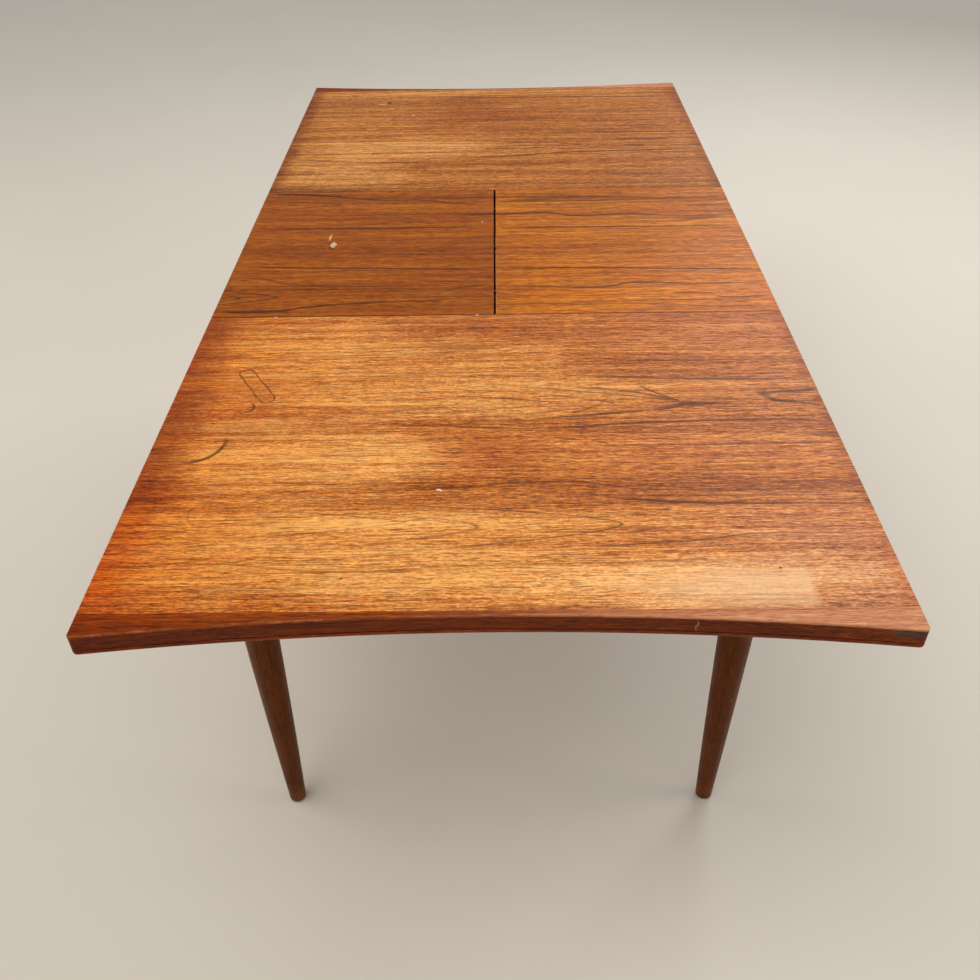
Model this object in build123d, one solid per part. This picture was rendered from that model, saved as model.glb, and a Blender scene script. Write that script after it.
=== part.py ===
from build123d import *
import os

# Extending dining table with a folding centre leaf, pulled out with the leaf in place.
# Millimetres. X runs across the table, Y along it and Z up; the origin is on the floor under
# the middle of the table. "Near" is the -Y end, "far" the +Y end, "left" is -X, "right" is +X.

# Driving dimensions of the top
WIDTH = 900.0
HEIGHT = 730.0
LEAF_LENGTH = 511.0
TOP_LENGTH = 685.0
SEAM = 0.5                # between the leaf and each top
LEAF_GAP = 4.0            # between the two halves of the leaf
THICKNESS = 29.0
VENEER = 1.0
END_HOLLOW = 27.7         # how far each end curves in at its middle
END_LIPPING = 34.9        # from a corner to the straight glue line of the end lipping
SIDE_LIPPING = 6.0
HINGE_LIPPING = 12.0
PLAN_CORNER = 5.0
LOWER_ARRIS = 4.5
UPPER_ARRIS = 0.8
QUIRK_DROP = 21.2         # from the surface to the fine groove round the edge
QUIRK_WIDTH = 1.2
QUIRK_DEPTH = 1.5
OUTLINE_OVERRUN = 20.0    # the edge mouldings run past the seams before they are cut off

# Driving dimensions of the frame
SLIDE_GAP = 0.4           # between faces that slide on each other
LEG_X = 352.0
LEG_Y = 637.0
LEG_TOP_RADIUS = 30.0
LEG_BELLY_RADIUS = 25.0
LEG_BELLY_HEIGHT = 400.0
LEG_FOOT_RADIUS = 13.5
LEG_FOOT_ROUNDING = 3.0
GLIDE_RADIUS = 9.0
GLIDE_HEIGHT = 2.5
RAIL_THICKNESS = 22.0
RAIL_HEIGHT = 75.0
RAIL_SHORT = 17.0         # how far short of the leg's axis a rail ends, inside the leg
BEARER_Y = 262.0          # inner face of each cross bearer
BEARER_INTO_RAIL = 8.0

# Runners under the tops
NEAR_RUNNER_X = 300.0
FAR_RUNNER_X = 270.0
RUNNER_WIDTH = 20.0
RUNNER_HEIGHT = 35.0
RUNNER_OUTER_Y = 585.0
RUNNER_EASING = 0.6       # the free end of a runner is this much lower than its fixed end
GROOVE_HEIGHT = 7.0
GROOVE_DEPTH = 6.0
GROOVE_DROP = 14.0        # from the underside of the top to the groove's upper face
OVERTRAVEL = 25.0
STOP_PLAY = 0.5
STOP_SIZE = 22.0

# Leaf pivots and hinges
PIVOT_X = -WIDTH / 8
PIVOT_DROP = 39.0
PIN_RADIUS = 4.0
BUSH_RADIUS = 6.0
RUNNING_FIT = 0.05
PRESS_FIT = 0.02
HINGE_Y = (-170.0, 0.0, 170.0)
HINGE_AXIS_RISE = 0.6     # the concealed hinges turn about a line just above the surface
BARREL_RADIUS = 6.5
BARREL_DROP = 9.0         # from the surface to the barrel's axis
BARREL_LENGTH = 14.0
BRIDGE_HALF_LENGTH = 5.5
BRIDGE_HALF_WIDTH = 2.0
BRIDGE_DROP = 3.6         # from the surface to the bridge's upper face
BRIDGE_HEIGHT = 4.8
BRIDGE_SPACE = 0.3
BRIDGE_PIN_RADIUS = 1.0

# Braces, bolts, keepers, battens and screws
BRACE_NEAR_FACE = 60.0    # from the leg's axis to the brace
BRACE_THICKNESS = 20.0
BRACE_BOTTOM = 635.0
BRACE_HEIGHT = 30.0
BOLT_RADIUS = 3.0
BOLT_START = 8.0          # from the leg's axis to the bolt's end in the leg
BOLT_END = 12.0           # how far the bolt stands out of the brace
WASHER_RADIUS = 7.0
WASHER_THICKNESS = 1.5
NUT_RADIUS = 5.8
NUT_HEIGHT = 5.0
KEEPER_THICKNESS = 3.0
KEEPER_WIDTH = 20.0
KEEPER_MARGIN = 7.0
KEEPER_SCREW_X = 12.0
KEEPER_SCREW_Z = 5.5
KEEPER_SCREW_DEPTH = 14.0
KEEPER_SCREW_RADIUS = 1.6
KEEPER_HEAD_RADIUS = 3.0
KEEPER_HEAD_HEIGHT = 1.6
BATTEN_HALF = 250.0
BATTEN_OUTER_Y = 585.0
BATTEN_WIDTH = 30.0
BATTEN_HEIGHT = 18.0
BATTEN_SCREW_X = (-220.0, -75.0, 75.0, 220.0)
RUNNER_SCREW_Y = (565.0, 472.0, 379.0, 286.0)
SCREW_RADIUS = 2.0
SCREW_HEAD_RADIUS = 4.0
SCREW_HEAD_HEIGHT = 2.5
SCREW_BITE = 15.0         # how far a screw goes up into a board
SCREW_SINK = 10.0         # how deep the runner screws' heads are sunk
STOP_SINK = 5.0
STOP_SCREW_SHORT = 2.0    # the stop's screw ends this far below the runner's groove
PIVOT_BLOCK_Y = 232.0
PIVOT_BLOCK_LENGTH = 22.0
PIVOT_BLOCK_HALF = 24.0
PIVOT_BLOCK_HEIGHT = 22.0
PIVOT_SCREW_X = 15.0
PIN_INSET = 4.0           # from the pivot block's inner face to the pin's end
PIN_OVERHANG = 2.0        # how far the pin stands out of the bearer
HINGE_SCREW_DROP = 12.6   # from the surface to the small screw in each barrel's face
HINGE_SCREW_DEPTH = 11.0
HINGE_SCREW_RADIUS = 1.0
HINGE_HEAD_RADIUS = 1.7
HINGE_HEAD_HEIGHT = 1.0
GAP_LIP_HEIGHT = 3.5      # the lip low in the gap between the halves, which hides the floor
GAP_LIP_PLAY = 0.4

# Heights and half lengths that follow from the driving dimensions
UNDERSIDE = HEIGHT - THICKNESS
FRAME_TOP = UNDERSIDE - SLIDE_GAP
RAIL_BOTTOM = FRAME_TOP - RAIL_HEIGHT
VENEER_BOTTOM = HEIGHT - VENEER
HALF_WIDTH = WIDTH / 2
LEAF_HALF_LENGTH = LEAF_LENGTH / 2
TOP_INNER_Y = LEAF_HALF_LENGTH + SEAM
TOP_OUTER_Y = TOP_INNER_Y + TOP_LENGTH
GLUE_LINE_Y = TOP_OUTER_Y - END_LIPPING
RAIL_INNER_X = LEG_X - RAIL_THICKNESS / 2
END_RAIL_INNER_Y = LEG_Y - RAIL_THICKNESS / 2
BEARER_OUTER_Y = BEARER_Y + RAIL_THICKNESS
RUNNER_BOTTOM = UNDERSIDE - RUNNER_HEIGHT
STOP_FACE_Y = BEARER_OUTER_Y + OVERTRAVEL + STOP_PLAY
PIVOT_Z = HEIGHT - PIVOT_DROP
HINGE_AXIS_Z = HEIGHT + HINGE_AXIS_RISE
GROOVE_TOP = UNDERSIDE - GROOVE_DROP
GROOVE_BOTTOM = GROOVE_TOP - GROOVE_HEIGHT

os.makedirs("parts", exist_ok=True)
saved = []


def save(name, *solids):
    """Write one node, which may be a group of separate solids."""
    shape = solids[0] if len(solids) == 1 else Compound(children=list(solids))
    export_step(shape, f"parts/{name}.step")
    saved.append(name)


def block(x_range, y_range, z_range):
    """A box from three ranges, each given as two numbers in any order."""
    sizes = [abs(high - low) for low, high in (x_range, y_range, z_range)]
    middles = [(low + high) / 2 for low, high in (x_range, y_range, z_range)]
    return Pos(*middles) * Box(*sizes)


def rod(start, end, radius):
    """A round bar from one point to another."""
    run = Vector(*end) - Vector(*start)
    return Part() + Solid.make_cylinder(radius, run.length, Plane(origin=start, z_dir=run))


def screw(tip, neck, shank_radius, head_radius, head_height):
    """A plain wood screw: a shank from its tip to the neck, and a head beyond the neck."""
    run = (Vector(*neck) - Vector(*tip)).normalized()
    head_end = Vector(*neck) + run * head_height
    return rod(tip, neck, shank_radius) + rod(neck, tuple(head_end), head_radius)


def turned(shape, end):
    """The near end's shape as it is, or turned half round for the far end."""
    return shape if end == "near" else shape.rotate(Axis.Z, 180)


def mirrored_x(shape):
    return mirror(shape, about=Plane.YZ)


def mirrored_y(shape):
    return mirror(shape, about=Plane.XZ)


# ---------------------------------------------------------------- frame

def leg_place(side, end):
    return (side * LEG_X, end * LEG_Y)


def leg():
    """A round leg with a slight belly, tapering to a rounded foot, on the Z axis."""
    foot = GLIDE_HEIGHT
    outline = [
        Line((0, 0, foot), (LEG_FOOT_RADIUS, 0, foot)),
        ThreePointArc((LEG_FOOT_RADIUS, 0, foot),
                      (LEG_BELLY_RADIUS, 0, LEG_BELLY_HEIGHT),
                      (LEG_TOP_RADIUS, 0, FRAME_TOP)),
        Line((LEG_TOP_RADIUS, 0, FRAME_TOP), (0, 0, FRAME_TOP)),
        Line((0, 0, FRAME_TOP), (0, 0, foot)),
    ]
    turned_leg = revolve(make_face(outline), Axis.Z)
    foot_edge = turned_leg.edges().filter_by(GeomType.CIRCLE).sort_by(Axis.Z)[0]
    return fillet(foot_edge, LEG_FOOT_ROUNDING)


def side_rail_blank(side):
    x_range = (side * (LEG_X - RAIL_THICKNESS / 2), side * (LEG_X + RAIL_THICKNESS / 2))
    end_y = LEG_Y - RAIL_SHORT
    return block(x_range, (-end_y, end_y), (RAIL_BOTTOM, FRAME_TOP))


def end_rail(end):
    y_range = (end * (LEG_Y - RAIL_THICKNESS / 2), end * (LEG_Y + RAIL_THICKNESS / 2))
    end_x = LEG_X - RAIL_SHORT
    return block((-end_x, end_x), y_range, (RAIL_BOTTOM, FRAME_TOP))


def bearer_blank(end):
    end_x = RAIL_INNER_X + BEARER_INTO_RAIL
    return block((-end_x, end_x), (end * BEARER_Y, end * BEARER_OUTER_Y), (RAIL_BOTTOM, FRAME_TOP))


def runner_notch(x, end):
    """The slot in a bearer that one runner slides in, open at the top."""
    half = RUNNER_WIDTH / 2 + SLIDE_GAP
    y_range = (end * (BEARER_Y - 1), end * (BEARER_OUTER_Y + 1))
    return block((x - half, x + half), y_range, (RUNNER_BOTTOM - SLIDE_GAP, FRAME_TOP + 1))


def corner_brace():
    """A diagonal block between the rails of the near left corner, below the runners."""
    leg_x, leg_y = leg_place(-1, -1)
    inner_reach = BRACE_NEAR_FACE * 2 ** 0.5
    outer_reach = (BRACE_NEAR_FACE + BRACE_THICKNESS) * 2 ** 0.5
    rail_x = -RAIL_INNER_X
    rail_y = -END_RAIL_INNER_Y
    # The block's two long faces are the lines where x + y equals a constant
    near_sum = leg_x + leg_y + inner_reach
    far_sum = leg_x + leg_y + outer_reach
    corners = [(rail_x, near_sum - rail_x), (rail_x, far_sum - rail_x),
               (far_sum - rail_y, rail_y), (near_sum - rail_y, rail_y)]
    face = make_face(Polyline(*corners, close=True))
    return Pos(0, 0, BRACE_BOTTOM) * extrude(face, BRACE_HEIGHT)


def brace_bolt_points():
    """Start in the leg, face of the brace and end of the thread, for the near left corner."""
    leg_x, leg_y = leg_place(-1, -1)
    middle = BRACE_BOTTOM + BRACE_HEIGHT / 2
    brace_face = BRACE_NEAR_FACE + BRACE_THICKNESS
    reaches = (BOLT_START, brace_face, brace_face + BOLT_END)
    return [(leg_x + reach / 2 ** 0.5, leg_y + reach / 2 ** 0.5, middle) for reach in reaches]


def nut(start, end):
    """A hexagon nut with a washer under it, on the brace's bolt."""
    run = (Vector(*end) - Vector(*start)).normalized()
    seat = Plane(origin=start, z_dir=run)
    lift = Plane(origin=tuple(Vector(*start) + run * WASHER_THICKNESS), z_dir=run)
    washer = Part() + Solid.make_cylinder(WASHER_RADIUS, WASHER_THICKNESS, seat)
    hexagon = extrude(lift * RegularPolygon(NUT_RADIUS, 6), NUT_HEIGHT)
    return washer + hexagon


def all_corners(shape):
    """The near left corner's shape, repeated at the other three corners."""
    right = mirrored_x(shape)
    return [shape, right, mirrored_y(shape), mirrored_y(right)]


def keeper(x, end, inward):
    """A steel plate on a bearer's outer face, with a tongue in the runner's groove."""
    groove_side = -1 if inward else 1
    side = 1 if x > 0 else -1
    direction = side * groove_side
    face = x + direction * RUNNER_WIDTH / 2
    tongue = (face - direction * (GROOVE_DEPTH - SLIDE_GAP), face + direction * SLIDE_GAP * 2)
    plate = (face + direction * SLIDE_GAP * 2, face + direction * KEEPER_WIDTH)
    y_range = (end * BEARER_OUTER_Y, end * (BEARER_OUTER_Y + KEEPER_THICKNESS))
    tongue_z = (GROOVE_BOTTOM + SLIDE_GAP, GROOVE_TOP - SLIDE_GAP)
    plate_z = (GROOVE_BOTTOM - KEEPER_MARGIN, GROOVE_TOP + KEEPER_MARGIN)
    shape = block(tongue, y_range, tongue_z) + block(plate, y_range, plate_z)
    screw_x = face + direction * KEEPER_SCREW_X
    screw_ends = []
    for drop in (-KEEPER_SCREW_Z, KEEPER_SCREW_Z):
        z = (GROOVE_TOP + GROOVE_BOTTOM) / 2 + drop
        tip = (screw_x, end * (BEARER_OUTER_Y - KEEPER_SCREW_DEPTH), z)
        neck = (screw_x, end * (BEARER_OUTER_Y + KEEPER_THICKNESS), z)
        screw_ends.append((tip, neck))
    return shape, screw_ends


def make_frame():
    rails = {side: side_rail_blank(side) for side in (-1, 1)}
    bearers = {end: bearer_blank(end) for end in (-1, 1)}
    keepers = []
    keeper_screws = []
    for end, bearer in bearers.items():
        for side in (-1, 1):
            rails[side] -= bearer
        for side in (-1, 1):
            for x, inward in ((NEAR_RUNNER_X, False), (FAR_RUNNER_X, True)):
                bearers[end] -= runner_notch(side * x, end)
                plate, screw_ends = keeper(side * x, end, inward)
                for tip, neck in screw_ends:
                    hole = rod(tip, neck, KEEPER_SCREW_RADIUS + PRESS_FIT)
                    plate -= hole
                    bearers[end] -= hole
                    keeper_screws.append(screw(tip, neck, KEEPER_SCREW_RADIUS,
                                               KEEPER_HEAD_RADIUS, KEEPER_HEAD_HEIGHT))
                keepers.append(plate)
        bush_y = (end * BEARER_Y, end * BEARER_OUTER_Y)
        start, stop = ((PIVOT_X, y, PIVOT_Z) for y in bush_y)
        bearers[end] -= rod(start, stop, BUSH_RADIUS + PRESS_FIT)

    bushes = []
    for end in (-1, 1):
        start = (PIVOT_X, end * BEARER_Y, PIVOT_Z)
        stop = (PIVOT_X, end * BEARER_OUTER_Y, PIVOT_Z)
        bushes.append(rod(start, stop, BUSH_RADIUS) - rod(start, stop, PIN_RADIUS + RUNNING_FIT))

    bolt_start, brace_face, bolt_end = brace_bolt_points()
    bolt_hole = rod(bolt_start, bolt_end, BOLT_RADIUS + PRESS_FIT)
    x, y = leg_place(-1, -1)
    corner_leg = Pos(x, y, 0) * leg() - side_rail_blank(-1) - end_rail(-1) - bolt_hole
    leg_names = ("leg_near_left", "leg_near_right", "leg_far_left", "leg_far_right")
    for name, one_leg in zip(leg_names, all_corners(corner_leg)):
        save(name, one_leg)

    save("side_rail_left", rails[-1])
    save("side_rail_right", rails[1])
    save("end_rail_near", end_rail(-1))
    save("end_rail_far", end_rail(1))
    save("bearer_near", bearers[-1])
    save("bearer_far", bearers[1])
    save("corner_braces", *all_corners(corner_brace() - bolt_hole))
    save("leg_bolts", *all_corners(rod(bolt_start, bolt_end, BOLT_RADIUS)))
    save("leg_nuts", *all_corners(nut(brace_face, bolt_end)
                                  - rod(bolt_start, bolt_end, BOLT_RADIUS + PRESS_FIT)))
    save("runner_keepers", *keepers)
    save("keeper_screws", *keeper_screws)
    save("pivot_bushes", *bushes)
    glide = Pos(-LEG_X, -LEG_Y, GLIDE_HEIGHT / 2) * Cylinder(GLIDE_RADIUS, GLIDE_HEIGHT)
    save("foot_glides", *all_corners(glide))


# ---------------------------------------------------------------- end tops

def top_outline():
    """The near top seen from above, run past its seam, with a hollow outer end."""
    inner = -TOP_INNER_Y + OUTLINE_OVERRUN
    corner = -TOP_OUTER_Y
    face = make_face([
        Line((-HALF_WIDTH, inner), (HALF_WIDTH, inner)),
        Line((HALF_WIDTH, inner), (HALF_WIDTH, corner)),
        ThreePointArc((HALF_WIDTH, corner), (0, corner + END_HOLLOW), (-HALF_WIDTH, corner)),
        Line((-HALF_WIDTH, corner), (-HALF_WIDTH, inner)),
    ])
    outer_corners = face.vertices().sort_by(Axis.Y)[:2]
    return fillet(outer_corners, PLAN_CORNER)


def moulded(outline, plain_edge):
    """A slab with rounded arrises and a quirk round its edge, save along its plain edges."""
    slab = Pos(0, 0, UNDERSIDE) * extrude(outline, THICKNESS)
    for face, radius in ((0, LOWER_ARRIS), (-1, UPPER_ARRIS)):
        rim = slab.faces().sort_by(Axis.Z)[face].edges()
        plain = plain_edge(rim)
        slab = fillet([edge for edge in rim if edge not in plain], radius)
    ring = extrude(outline, QUIRK_WIDTH) - extrude(offset(outline, -QUIRK_DEPTH), QUIRK_WIDTH)
    return slab - Pos(0, 0, HEIGHT - QUIRK_DROP - QUIRK_WIDTH / 2) * ring


def runner(x, groove_side):
    """One runner of the near top: fixed under it, then free as far as the far bearer."""
    x_range = (x - RUNNER_WIDTH / 2, x + RUNNER_WIDTH / 2)
    free_end = STOP_FACE_Y + STOP_SIZE
    fixed = block(x_range, (-RUNNER_OUTER_Y, -TOP_INNER_Y), (RUNNER_BOTTOM, UNDERSIDE))
    free = block(x_range, (-TOP_INNER_Y, free_end), (RUNNER_BOTTOM, UNDERSIDE - RUNNER_EASING))
    face = x + groove_side * RUNNER_WIDTH / 2
    groove = block((face - groove_side * GROOVE_DEPTH, face + groove_side),
                   (-RUNNER_OUTER_Y - 1, free_end + 1), (GROOVE_BOTTOM, GROOVE_TOP))
    return fixed + free - groove


def make_top(end):
    runner_x, outward = (NEAR_RUNNER_X, 1) if end == "near" else (FAR_RUNNER_X, -1)
    slab = moulded(top_outline(), lambda edges: edges.sort_by(Axis.Y)[-1:])
    inside = (-HALF_WIDTH + SIDE_LIPPING, HALF_WIDTH - SIDE_LIPPING)
    across = (-HALF_WIDTH - 1, HALF_WIDTH + 1)
    body_z = (UNDERSIDE - 1, VENEER_BOTTOM)
    all_z = (UNDERSIDE - 1, HEIGHT + 1)
    inner_lipping_y = -TOP_INNER_Y - SIDE_LIPPING
    board = slab & block(inside, (-GLUE_LINE_Y, inner_lipping_y), body_z)
    veneer = slab & block(across, (-GLUE_LINE_Y, -TOP_INNER_Y), (VENEER_BOTTOM, HEIGHT + 1))
    end_lipping = slab & block(across, (-TOP_OUTER_Y - 1, -GLUE_LINE_Y), all_z)
    seam_lipping = slab & block(inside, (inner_lipping_y, -TOP_INNER_Y), body_z)
    side_y = (-GLUE_LINE_Y, -TOP_INNER_Y)
    left_lipping = slab & block((across[0], inside[0]), side_y, body_z)
    right_lipping = slab & block((inside[1], across[1]), side_y, body_z)

    batten = block((-BATTEN_HALF, BATTEN_HALF), (-BATTEN_OUTER_Y, -BATTEN_OUTER_Y + BATTEN_WIDTH),
                   (UNDERSIDE - BATTEN_HEIGHT, UNDERSIDE))
    runners = {side: runner(side * runner_x, side * outward) for side in (-1, 1)}
    stops = {}
    screws = []
    for side in (-1, 1):
        x = side * runner_x
        for y in RUNNER_SCREW_Y:
            neck = (x, -y, RUNNER_BOTTOM + SCREW_SINK)
            screws.append(((x, -y, UNDERSIDE + SCREW_BITE), neck, (x, -y, RUNNER_BOTTOM)))
        stop_y = STOP_FACE_Y + STOP_SIZE / 2
        stop_bottom = RUNNER_BOTTOM - STOP_SIZE
        half = RUNNER_WIDTH / 2
        stops[side] = block((x - half, x + half), (STOP_FACE_Y, STOP_FACE_Y + STOP_SIZE),
                            (stop_bottom, RUNNER_BOTTOM))
        screws.append(((x, stop_y, GROOVE_BOTTOM - STOP_SCREW_SHORT),
                       (x, stop_y, stop_bottom + STOP_SINK), (x, stop_y, stop_bottom)))
    for x in BATTEN_SCREW_X:
        y = -BATTEN_OUTER_Y + BATTEN_WIDTH / 2
        bottom = UNDERSIDE - BATTEN_HEIGHT
        screws.append(((x, y, UNDERSIDE + SCREW_BITE), (x, y, bottom + STOP_SINK), (x, y, bottom)))

    solids = []
    for tip, neck, mouth in screws:
        hole = rod(tip, neck, SCREW_RADIUS + PRESS_FIT)
        hole += rod(neck, mouth, SCREW_HEAD_RADIUS + PRESS_FIT)
        board -= hole
        batten -= hole
        for side in (-1, 1):
            runners[side] -= hole
            stops[side] -= hole
        solids.append(screw(tip, neck, SCREW_RADIUS, SCREW_HEAD_RADIUS, SCREW_HEAD_HEIGHT))

    save(f"{end}_top_board", turned(board, end))
    save(f"{end}_top_veneer", turned(veneer, end))
    save(f"{end}_top_end_lipping", turned(end_lipping, end))
    save(f"{end}_top_seam_lipping", turned(seam_lipping, end))
    save(f"{end}_top_side_lippings", turned(left_lipping, end), turned(right_lipping, end))
    save(f"{end}_top_batten", turned(batten, end))
    names = {-1: "left", 1: "right"} if end == "near" else {-1: "right", 1: "left"}
    for side in (-1, 1):
        save(f"{end}_top_runner_{names[side]}", turned(runners[side], end))
    save(f"{end}_top_stop_blocks", *(turned(stop, end) for stop in stops.values()))
    save(f"{end}_top_screws", *(turned(solid, end) for solid in solids))


# ---------------------------------------------------------------- leaf

def barrel_rod(y, radius):
    """A cylinder let into the left half's edge, square to that edge."""
    edge = -LEAF_GAP / 2
    z = HEIGHT - BARREL_DROP
    return rod((edge - BARREL_LENGTH, y, z), (edge, y, z), radius)


def hinge_screw_points(y):
    """Tip, neck and mouth of the small screw that wedges one barrel in its hole."""
    edge = -LEAF_GAP / 2
    z = HEIGHT - HINGE_SCREW_DROP
    return (edge - HINGE_SCREW_DEPTH, y, z), (edge - HINGE_HEAD_HEIGHT, y, z), (edge, y, z)


def hinge_barrel(y):
    """A brass barrel with a slot that the bridge swings out of as the leaf folds."""
    edge = -LEAF_GAP / 2
    bridge_bottom = HEIGHT - BRIDGE_DROP - BRIDGE_HEIGHT
    reach = ((HINGE_AXIS_Z - bridge_bottom) ** 2 + BRIDGE_HALF_LENGTH ** 2) ** 0.5
    slot = block((-BRIDGE_HALF_LENGTH - BRIDGE_SPACE, edge + 1),
                 (y - BRIDGE_HALF_WIDTH - BRIDGE_SPACE, y + BRIDGE_HALF_WIDTH + BRIDGE_SPACE),
                 (HINGE_AXIS_Z - reach - BRIDGE_SPACE, HEIGHT - BRIDGE_DROP + BRIDGE_SPACE))
    tip, neck, mouth = hinge_screw_points(y)
    barrel = barrel_rod(y, BARREL_RADIUS) - slot
    barrel -= rod(tip, neck, HINGE_SCREW_RADIUS + PRESS_FIT)
    return barrel - rod(neck, mouth, HINGE_HEAD_RADIUS + PRESS_FIT)


def bridge_pin(y, radius):
    z = HEIGHT - BRIDGE_DROP - BRIDGE_HEIGHT / 2
    return rod((0, y - BRIDGE_HALF_WIDTH, z), (0, y + BRIDGE_HALF_WIDTH, z), radius)


def hinge_bridge(y):
    """The arms that join two barrels, with rounded ends, about the pin at their crossing."""
    middle = HEIGHT - BRIDGE_DROP - BRIDGE_HEIGHT / 2
    end_radius = BRIDGE_HEIGHT / 2
    straight = BRIDGE_HALF_LENGTH - end_radius
    y_range = (y - BRIDGE_HALF_WIDTH, y + BRIDGE_HALF_WIDTH)
    bridge = block((-straight, straight), y_range, (middle - end_radius, middle + end_radius))
    for x in (-straight, straight):
        bridge += rod((x, y_range[0], middle), (x, y_range[1], middle), end_radius)
    return bridge - bridge_pin(y, BRIDGE_PIN_RADIUS + PRESS_FIT)


def make_leaf_half(half):
    """One half of the leaf, modelled on the left; the right half is its mirror image."""
    outer_x = -HALF_WIDTH
    edge = -LEAF_GAP / 2
    long_y = (-LEAF_HALF_LENGTH, LEAF_HALF_LENGTH)
    short_y = (-LEAF_HALF_LENGTH + SIDE_LIPPING, LEAF_HALF_LENGTH - SIDE_LIPPING)
    run_on = LEAF_HALF_LENGTH + OUTLINE_OVERRUN
    outline = make_face(Polyline((outer_x, -run_on), (OUTLINE_OVERRUN, -run_on),
                                 (OUTLINE_OVERRUN, run_on), (outer_x, run_on), close=True))
    slab = moulded(outline, lambda edges: [e for e in edges if e not in edges.sort_by(Axis.X)[:1]])
    body_z = (UNDERSIDE - 1, VENEER_BOTTOM)
    core_x = (outer_x + SIDE_LIPPING, edge - HINGE_LIPPING)
    pieces = {
        "board": slab & block(core_x, short_y, body_z),
        "veneer": slab & block((outer_x - 1, edge), long_y, (VENEER_BOTTOM, HEIGHT + 1)),
        "outer_lipping": slab & block((outer_x - 1, core_x[0]), long_y, body_z),
        "hinge_lipping": slab & block((core_x[1], edge), long_y, body_z),
    }
    if half == "left":
        pieces["hinge_lipping"] += block((edge, LEAF_GAP / 2 - GAP_LIP_PLAY), long_y,
                                         (UNDERSIDE, UNDERSIDE + GAP_LIP_HEIGHT))
    seam_lippings = [slab & block(core_x, (side * short_y[1], side * long_y[1]), body_z)
                     for side in (-1, 1)]

    hinge_screws = []
    for y in HINGE_Y:
        pieces["hinge_lipping"] -= barrel_rod(y, BARREL_RADIUS + PRESS_FIT)
        pieces["board"] -= barrel_rod(y, BARREL_RADIUS + PRESS_FIT)
        tip, neck, mouth = hinge_screw_points(y)
        hinge_screws.append(screw(tip, neck, HINGE_SCREW_RADIUS, HINGE_HEAD_RADIUS,
                                  HINGE_HEAD_HEIGHT))

    if half == "left":
        blocks = []
        pins = []
        block_screws = []
        for end in (-1, 1):
            y_range = (end * PIVOT_BLOCK_Y, end * (PIVOT_BLOCK_Y + PIVOT_BLOCK_LENGTH))
            support = block((PIVOT_X - PIVOT_BLOCK_HALF, PIVOT_X + PIVOT_BLOCK_HALF), y_range,
                            (UNDERSIDE - PIVOT_BLOCK_HEIGHT, UNDERSIDE))
            start = (PIVOT_X, end * (PIVOT_BLOCK_Y + PIN_INSET), PIVOT_Z)
            stop = (PIVOT_X, end * (BEARER_OUTER_Y + PIN_OVERHANG), PIVOT_Z)
            support -= rod(start, stop, PIN_RADIUS + PRESS_FIT)
            for offset_x in (-PIVOT_SCREW_X, PIVOT_SCREW_X):
                x = PIVOT_X + offset_x
                y = end * (PIVOT_BLOCK_Y + PIVOT_BLOCK_LENGTH / 2)
                bottom = UNDERSIDE - PIVOT_BLOCK_HEIGHT
                tip = (x, y, UNDERSIDE + SCREW_BITE)
                neck = (x, y, bottom + STOP_SINK)
                hole = rod(tip, neck, SCREW_RADIUS + PRESS_FIT)
                hole += rod(neck, (x, y, bottom), SCREW_HEAD_RADIUS + PRESS_FIT)
                support -= hole
                pieces["board"] -= hole
                block_screws.append(screw(tip, neck, SCREW_RADIUS, SCREW_HEAD_RADIUS,
                                          SCREW_HEAD_HEIGHT))
            blocks.append(support)
            pins.append(rod(start, stop, PIN_RADIUS))
        save("pivot_blocks", *blocks)
        save("pivot_pins", *pins)
        save("pivot_block_screws", *block_screws)

    barrels = [hinge_barrel(y) for y in HINGE_Y]
    side = (lambda shape: shape) if half == "left" else mirrored_x
    for name, shape in pieces.items():
        save(f"leaf_{half}_{name}", side(shape))
    save(f"leaf_{half}_seam_lippings", *map(side, seam_lippings))
    save(f"hinge_barrels_{half}", *map(side, barrels))
    save(f"hinge_screws_{half}", *map(side, hinge_screws))


make_frame()
for which_end in ("near", "far"):
    make_top(which_end)
for which_half in ("left", "right"):
    make_leaf_half(which_half)
save("hinge_bridges", *(hinge_bridge(y) for y in HINGE_Y))
save("hinge_bridge_pins", *(bridge_pin(y, BRIDGE_PIN_RADIUS) for y in HINGE_Y))
print(len(saved), "nodes")
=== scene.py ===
import math

import bpy
from mathutils import Matrix, Vector

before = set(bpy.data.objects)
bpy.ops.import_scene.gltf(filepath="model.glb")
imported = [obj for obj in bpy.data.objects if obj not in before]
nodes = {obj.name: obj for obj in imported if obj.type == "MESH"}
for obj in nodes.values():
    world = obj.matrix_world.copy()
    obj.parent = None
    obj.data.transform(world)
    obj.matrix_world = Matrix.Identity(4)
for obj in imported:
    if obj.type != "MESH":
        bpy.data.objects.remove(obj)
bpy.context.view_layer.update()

# Places on the table, in metres from its middle on the floor
TOP_Z = 0.730              # the upper surface
QUIRK_Z = 0.7088           # the fine groove round the edges
HALF_WIDTH = 0.450
SEAM_Y = 0.2555            # where the leaf meets each top
END_Y = 0.9135             # the middle of each end
END_ARC_RADIUS = 3.669     # the hollow curve of each end
END_ARC_Y = END_Y + END_ARC_RADIUS

STROKE_SLOPE = 1.7         # above 1, the middle of a grain line is evenly dark
LOW_TONE, HIGH_TONE = 0.12, 0.88    # the figure's values that take the first and last tone
BUMP_STRENGTH = 0.8

# ---------------------------------------------------------------- node graphs

def tone(red, green, blue):
    """A colour given as display values, 0 to 255, in the linear values that shaders take."""
    def linear(value):
        value /= 255
        return value / 12.92 if value <= 0.04045 else ((value + 0.055) / 1.055) ** 2.4
    return (linear(red), linear(green), linear(blue), 1)


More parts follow.
